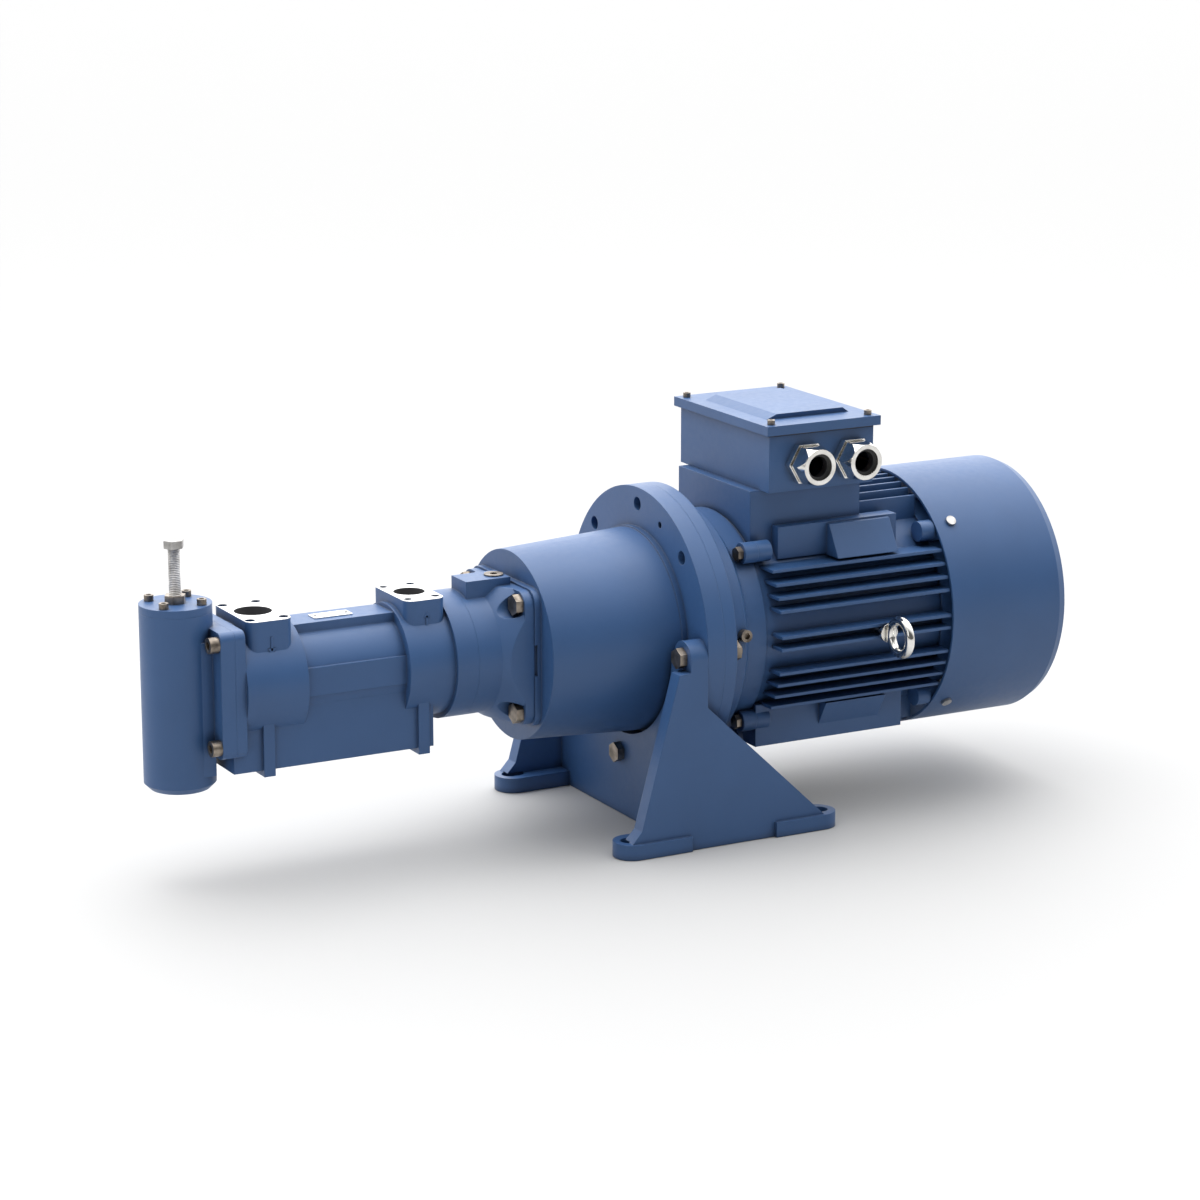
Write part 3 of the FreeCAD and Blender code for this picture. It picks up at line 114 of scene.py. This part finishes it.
# Every finish is a node group with named inputs, which gives a colour, a roughness and a normal.
# A material sets the inputs of one group, and a piece is dressed by filling its slots.
def look_group(name, **inputs):
    group = bpy.data.node_groups.new(name, "ShaderNodeTree")
    for socket, value in inputs.items():
        kind = "NodeSocketColor" if isinstance(value, tuple) else "NodeSocketFloat"
        entry = group.interface.new_socket(socket.replace("_", " "), in_out="INPUT", socket_type=kind)
        entry.default_value = value
    for socket, kind in (("Colour", "NodeSocketColor"), ("Roughness", "NodeSocketFloat"),
                         ("Normal", "NodeSocketVector")):
        group.interface.new_socket(socket, in_out="OUTPUT", socket_type=kind)
    return group


def add_node(tree, kind, **values):
    made = tree.nodes.new(kind)
    for name, value in values.items():
        name = name.replace("_", " ") if name[0].isupper() else name
        if name in made.inputs:
            made.inputs[name].default_value = value
        else:
            setattr(made, name, value)
    return made


def wire(tree, *pairs):
    for source, target in pairs:
        tree.links.new(source, target)


def finish_with(name, group, **values):
    material = bpy.data.materials.new(name)
    material.use_nodes = True
    tree = material.node_tree
    look = tree.nodes.new("ShaderNodeGroup")
    look.node_tree = group
    for socket, value in values.items():
        look.inputs[socket.replace("_", " ")].default_value = value
    shader = tree.nodes["Principled BSDF"]
    wire(tree, (look.outputs["Colour"], shader.inputs["Base Color"]),
         (look.outputs["Roughness"], shader.inputs["Roughness"]),
         (look.outputs["Normal"], shader.inputs["Normal"]))
    return material


def dress(material, *names):
    for name in names:
        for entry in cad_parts[name].material_slots:
            entry.material = material


# Blue enamel over rough castings: the paint is slightly mottled, has an orange-peel skin over the
# casting's grain, is painted darker in its corners as shade from ambient occlusion, and rounds off every
# edge.
enamel_look = look_group("enamel_on_casting", Paint=(0.035, 0.095, 0.235, 1),
                         Corner_Dirt=(0.012, 0.028, 0.07, 1), Skin_Height=0.06, Edge_Radius=0.0012)
paint_in = add_node(enamel_look, "NodeGroupInput")
paint_out = add_node(enamel_look, "NodeGroupOutput")
place = add_node(enamel_look, "ShaderNodeTexCoord")
mottle = add_node(enamel_look, "ShaderNodeTexNoise", Scale=14.0, Detail=3.0)
mottle_range = add_node(enamel_look, "ShaderNodeMapRange", To_Min=0.88, To_Max=1.12)
shade = add_node(enamel_look, "ShaderNodeVectorMath", operation="SCALE")
# Painted shade: ambient occlusion darkens the paint towards the corner colour in corners and crevices.
corners = add_node(enamel_look, "ShaderNodeAmbientOcclusion", Distance=0.012, samples=8)
corner_range = add_node(enamel_look, "ShaderNodeMapRange", From_Min=0.25, From_Max=0.85)
corner_shade_mix = add_node(enamel_look, "ShaderNodeMix", data_type="RGBA")
peel = add_node(enamel_look, "ShaderNodeTexNoise", Scale=700.0, Detail=2.0)
casting = add_node(enamel_look, "ShaderNodeTexNoise", Scale=160.0, Detail=4.0)
skin = add_node(enamel_look, "ShaderNodeMath", operation="ADD")
edge = add_node(enamel_look, "ShaderNodeBevel", samples=6)
relief = add_node(enamel_look, "ShaderNodeBump", Distance=0.0006)
gloss = add_node(enamel_look, "ShaderNodeMapRange", To_Min=0.36, To_Max=0.52)
wire(enamel_look,
     (place.outputs["Object"], mottle.inputs["Vector"]),
     (place.outputs["Object"], peel.inputs["Vector"]),
     (place.outputs["Object"], casting.inputs["Vector"]),
     (mottle.outputs["Fac"], mottle_range.inputs["Value"]),
     (paint_in.outputs["Paint"], shade.inputs[0]),
     (mottle_range.outputs["Result"], shade.inputs["Scale"]),
     (corners.outputs["AO"], corner_range.inputs["Value"]),
     (corner_range.outputs["Result"], corner_shade_mix.inputs["Factor"]),
     (paint_in.outputs["Corner Dirt"], corner_shade_mix.inputs["A"]),
     (shade.outputs["Vector"], corner_shade_mix.inputs["B"]),
     (corner_shade_mix.outputs["Result"], paint_out.inputs["Colour"]),
     (peel.outputs["Fac"], skin.inputs[0]),
     (casting.outputs["Fac"], skin.inputs[1]),
     (paint_in.outputs["Edge Radius"], edge.inputs["Radius"]),
     (skin.outputs["Value"], relief.inputs["Height"]),
     (paint_in.outputs["Skin Height"], relief.inputs["Strength"]),
     (edge.outputs["Normal"], relief.inputs["Normal"]),
     (relief.outputs["Normal"], paint_out.inputs["Normal"]),
     (casting.outputs["Fac"], gloss.inputs["Value"]),
     (gloss.outputs["Result"], paint_out.inputs["Roughness"]))
enamel = finish_with("blue_enamel", enamel_look)

# Bare metal: clouds of tarnish that are also rougher, fine scratches, and small rounded edges.
metal_look = look_group("worked_metal", Metal=(0.5, 0.5, 0.5, 1), Tarnish=(0.2, 0.18, 0.16, 1),
                        Smoothness=0.3, Roughest=0.5, Edge_Radius=0.0004)
metal_in = add_node(metal_look, "NodeGroupInput")
metal_out = add_node(metal_look, "NodeGroupOutput")
metal_place = add_node(metal_look, "ShaderNodeTexCoord")
cloud = add_node(metal_look, "ShaderNodeTexNoise", Scale=90.0, Detail=5.0)
cloud_range = add_node(metal_look, "ShaderNodeMapRange", From_Min=0.38, From_Max=0.66)
tarnished = add_node(metal_look, "ShaderNodeMix", data_type="RGBA")
rough = add_node(metal_look, "ShaderNodeMapRange")
scratch = add_node(metal_look, "ShaderNodeTexNoise", Scale=1500.0, Detail=2.0)
metal_edge = add_node(metal_look, "ShaderNodeBevel", samples=6)
metal_relief = add_node(metal_look, "ShaderNodeBump", Distance=0.0002, Strength=0.08)
wire(metal_look,
     (metal_place.outputs["Object"], cloud.inputs["Vector"]),
     (metal_place.outputs["Object"], scratch.inputs["Vector"]),
     (cloud.outputs["Fac"], cloud_range.inputs["Value"]),
     (cloud_range.outputs["Result"], tarnished.inputs["Factor"]),
     (metal_in.outputs["Metal"], tarnished.inputs["A"]),
     (metal_in.outputs["Tarnish"], tarnished.inputs["B"]),
     (tarnished.outputs["Result"], metal_out.inputs["Colour"]),
     (cloud.outputs["Fac"], rough.inputs["Value"]),
     (metal_in.outputs["Smoothness"], rough.inputs["To Min"]),
     (metal_in.outputs["Roughest"], rough.inputs["To Max"]),
     (rough.outputs["Result"], metal_out.inputs["Roughness"]),
     (metal_in.outputs["Edge Radius"], metal_edge.inputs["Radius"]),
     (scratch.outputs["Fac"], metal_relief.inputs["Height"]),
     (metal_edge.outputs["Normal"], metal_relief.inputs["Normal"]),
     (metal_relief.outputs["Normal"], metal_out.inputs["Normal"]))


def metal_finish(name, **values):
    material = finish_with(name, metal_look, **values)
    material.node_tree.nodes["Principled BSDF"].inputs["Metallic"].default_value = 1.0
    return material


bright_steel = metal_finish("bright_steel", Metal=(0.55, 0.54, 0.53, 1), Tarnish=(0.33, 0.32, 0.31, 1),
                            Smoothness=0.22, Roughest=0.38)
bolt_steel = metal_finish("blackened_bolt_steel", Metal=(0.34, 0.29, 0.24, 1),
                          Tarnish=(0.14, 0.12, 0.1, 1))
bronze = metal_finish("bearing_bronze", Metal=(0.7, 0.5, 0.27, 1), Tarnish=(0.42, 0.28, 0.14, 1))
bare_iron = metal_finish("bare_iron", Metal=(0.3, 0.3, 0.31, 1), Tarnish=(0.17, 0.16, 0.16, 1))

# Black rubber, plastic and carbon share one finish: an even black skin with soft edges.
# Its corner colour is painted shade, laid into corners by the enamel group's ambient occlusion.
moulded = finish_with("black_moulding", enamel_look, Paint=(0.02, 0.02, 0.022, 1),
                      Corner_Dirt=(0.008, 0.008, 0.008, 1), Skin_Height=0.1, Edge_Radius=0.0005)

# The pump housing is an iron casting in blue enamel. Its two port faces, which lie at one height
# on top of the port blocks, are milled bright, and its port bores are bare iron painted dark as shade.
suction_x = -0.4645
discharge_x = -0.294
suction_shaded_bore_radius = 0.0192
discharge_shaded_bore_radius = 0.0162
milled_depth = 0.0003
housing_enamel = finish_with("housing_enamel", enamel_look)
housing_tree = housing_enamel.node_tree
housing_shader = housing_tree.nodes["Principled BSDF"]
housing_colour = housing_shader.inputs["Base Color"].links[0].from_socket
port_face_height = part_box("pump_housing")[1][2]
where = add_node(housing_tree, "ShaderNodeTexCoord")
split = add_node(housing_tree, "ShaderNodeSeparateXYZ")
wire(housing_tree, (where.outputs["Object"], split.inputs["Vector"]))
for port_x, shaded_bore_radius in ((suction_x, suction_shaded_bore_radius), (discharge_x, discharge_shaded_bore_radius)):
    flat = add_node(housing_tree, "ShaderNodeCombineXYZ")
    reach = add_node(housing_tree, "ShaderNodeVectorMath", operation="DISTANCE")
    reach.inputs[1].default_value = (port_x, 0, 0)
    inside = add_node(housing_tree, "ShaderNodeMath", operation="LESS_THAN")
    inside.inputs[1].default_value = shaded_bore_radius
    # Painted shade: inside each port's radius the bare iron is painted near black, as the shade that
    # falls in the bore.
    shaded_bore_iron = add_node(housing_tree, "ShaderNodeMix", data_type="RGBA", B=(0.09, 0.09, 0.095, 1))
    wire(housing_tree,
         (split.outputs["X"], flat.inputs["X"]),
         (split.outputs["Y"], flat.inputs["Y"]),
         (flat.outputs["Vector"], reach.inputs[0]),
         (reach.outputs["Value"], inside.inputs[0]),
         (inside.outputs["Value"], shaded_bore_iron.inputs["Factor"]),
         (housing_colour, shaded_bore_iron.inputs["A"]))
    housing_colour = shaded_bore_iron.outputs["Result"]
on_top = add_node(housing_tree, "ShaderNodeMath", operation="GREATER_THAN")
on_top.inputs[1].default_value = port_face_height - milled_depth
milled = add_node(housing_tree, "ShaderNodeMix", data_type="RGBA", B=(0.86, 0.86, 0.86, 1))
wire(housing_tree,
     (split.outputs["Z"], on_top.inputs[0]),
     (on_top.outputs["Value"], milled.inputs["Factor"]),
     (housing_colour, milled.inputs["A"]),
     (milled.outputs["Result"], housing_shader.inputs["Base Color"]))
dress(housing_enamel, "pump_housing")

# A raised arrow is cast on the near face of each port block and shows which way the oil flows:
# down into the suction port, and up out of the discharge port. Each is a bar with a triangular head.
arrow_height = 0.246
arrow_length = 0.014
arrow_width = 0.0022
arrow_relief = 0.0016
head_radius = 0.0052
head_top_radius = 0.0034
for name, middle_x, face_y, heading in (("suction_arrow", suction_x, -0.046, -1),
                                        ("discharge_arrow", discharge_x, -0.041, 1)):
    bpy.ops.mesh.primitive_cube_add(size=1, location=(middle_x, face_y, arrow_height))
    arrow = bpy.context.object
    arrow.name = name
    arrow.scale = (arrow_width, arrow_relief, arrow_length)
    bpy.ops.object.transform_apply(location=False, rotation=False, scale=True)
    head_place = (middle_x, face_y, arrow_height + heading * arrow_length / 2)
    bpy.ops.mesh.primitive_cone_add(vertices=3, radius1=head_radius, radius2=head_top_radius,
                                    depth=arrow_relief, location=head_place,
                                    rotation=(heading * math.pi / 2, 0, 0))
    arrow.select_set(True)
    bpy.context.view_layer.objects.active = arrow
    bpy.ops.object.join()
    bpy.ops.object.transform_apply(location=True, rotation=True, scale=True)
    arrow.data.materials.clear()
    arrow.data.materials.append(enamel)
    bpy.ops.object.select_all(action="DESELECT")
    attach(arrow, "root")

# The bare name plate is anodised aluminium, held on the housing's ridge by two round rivets.
plate_metal = metal_finish("anodised_plate", Metal=(0.72, 0.73, 0.74, 1), Tarnish=(0.58, 0.58, 0.6, 1))
dress(plate_metal, "pump_nameplate")
dress(bright_steel, "nameplate_rivets")

# Inside the housing, three ground steel screws run in an iron liner, their journals in a bronze plate.
dress(bare_iron, "screw_liner")
dress(bronze, "journal_plate")
dress(bright_steel, "main_screw", "idler_screw_near", "idler_screw_far")

# The drive cover carries the main screw's ball bearing and the carbon shaft seal, with a plug on top.
dress(enamel, "drive_cover")
dress(bright_steel, "pump_bearing_outer_ring", "pump_bearing_inner_ring", "pump_bearing_balls")
dress(moulded, "seal_seat", "seal_ring")
dress(bolt_steel, "vent_plug", "pump_flange_bolts")

# The relief valve stands on the pump's end in blue enamel, with a steel piston, spring and plate
# inside, and socket screws round its cap and flange.
dress(enamel, "valve_housing", "valve_cap")
dress(bright_steel, "relief_piston", "spring_plate", "relief_spring")
dress(bolt_steel, "valve_housing_screws", "valve_cap_screws", "lock_nut")

# The adjusting screw is bright steel with a cut thread up to its hexagon head. The thread is a
# fine ripple along the screw that stops where the head starts.
thread_pitch = 0.00175
thread_depth = 0.0006
head_height = 0.008
threaded_steel = metal_finish("threaded_steel", Metal=(0.55, 0.54, 0.53, 1), Tarnish=(0.3, 0.29, 0.28, 1))
thread_tree = threaded_steel.node_tree
thread_shader = thread_tree.nodes["Principled BSDF"]
plain_normal = thread_shader.inputs["Normal"].links[0].from_socket
thread_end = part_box("adjusting_screw")[1][2] - head_height
thread_place = add_node(thread_tree, "ShaderNodeTexCoord")
thread_split = add_node(thread_tree, "ShaderNodeSeparateXYZ")
thread_wave = add_node(thread_tree, "ShaderNodeTexWave", bands_direction="Z",
                       Scale=math.pi / (10 * thread_pitch))
below_head = add_node(thread_tree, "ShaderNodeMath", operation="LESS_THAN")
below_head.inputs[1].default_value = thread_end
thread_relief = add_node(thread_tree, "ShaderNodeBump", Distance=thread_depth)
wire(thread_tree,
     (thread_place.outputs["Object"], thread_wave.inputs["Vector"]),
     (thread_place.outputs["Object"], thread_split.inputs["Vector"]),
     (thread_split.outputs["Z"], below_head.inputs[0]),
     (below_head.outputs["Value"], thread_relief.inputs["Strength"]),
     (thread_wave.outputs["Fac"], thread_relief.inputs["Height"]),
     (plain_normal, thread_relief.inputs["Normal"]),
     (thread_relief.outputs["Normal"], thread_shader.inputs["Normal"]))
dress(threaded_steel, "adjusting_screw")

# The bell housing is an enamelled casting round the coupling: two steel hubs whose jaws drive each
# other through a red elastic spider.
spider_red = finish_with("red_elastomer", enamel_look, Paint=(0.45, 0.04, 0.03, 1),
                         # The dark red corner colour is painted shade, laid into corners by the enamel
                         # group's ambient occlusion.
                         Corner_Dirt=(0.2, 0.01, 0.01, 1))
dress(enamel, "bell_housing")
dress(bright_steel, "pump_coupling_hub", "motor_coupling_hub")
dress(spider_red, "coupling_spider")

# The foot bracket is welded plate in the same enamel, bolted to the bell housing's flange.
dress(enamel, "foot_bracket")
dress(bolt_steel, "bracket_bolts", "bracket_nuts")

# The motor's frame and end shields are enamelled castings round an iron core with varnished copper
# windings, an iron rotor, and a steel shaft in two ball bearings.
copper = metal_finish("varnished_copper", Metal=(0.66, 0.32, 0.18, 1), Tarnish=(0.4, 0.18, 0.09, 1))
dress(enamel, "drive_end_shield", "motor_frame", "rear_end_shield")
dress(bolt_steel, "shield_bolts", "earth_screw")
dress(bare_iron, "stator_core", "rotor")
dress(copper, "stator_windings")
dress(bright_steel, "motor_shaft", "motor_bearing_outer_rings", "motor_bearing_inner_rings",
      "motor_bearing_balls")

# A plastic fan sits on the shaft's end under a cowl of pressed sheet, whose enamel is smoother than
# the castings' and has sharper edges.
sheet_enamel = finish_with("sheet_enamel", enamel_look, Skin_Height=0.02, Edge_Radius=0.0008)
dress(moulded, "fan")
dress(sheet_enamel, "fan_cowl")
dress(bright_steel, "cowl_screws")

# The terminal box is pressed sheet too, with a gasket under its lid, a plastic board with bronze
# studs inside, and two nickel-plated cable glands. The motor's lifting eye has the same plating.
nickel = metal_finish("polished_nickel", Metal=(0.88, 0.87, 0.84, 1), Tarnish=(0.7, 0.68, 0.64, 1),
                      Smoothness=0.08, Roughest=0.2, Edge_Radius=0.0008)
dress(sheet_enamel, "terminal_box", "terminal_lid")
dress(moulded, "lid_gasket", "terminal_board", "gland_seals")
dress(bronze, "terminal_studs")
dress(bolt_steel, "lid_screws")
dress(nickel, "gland_bodies", "gland_nuts", "lifting_eyebolt")
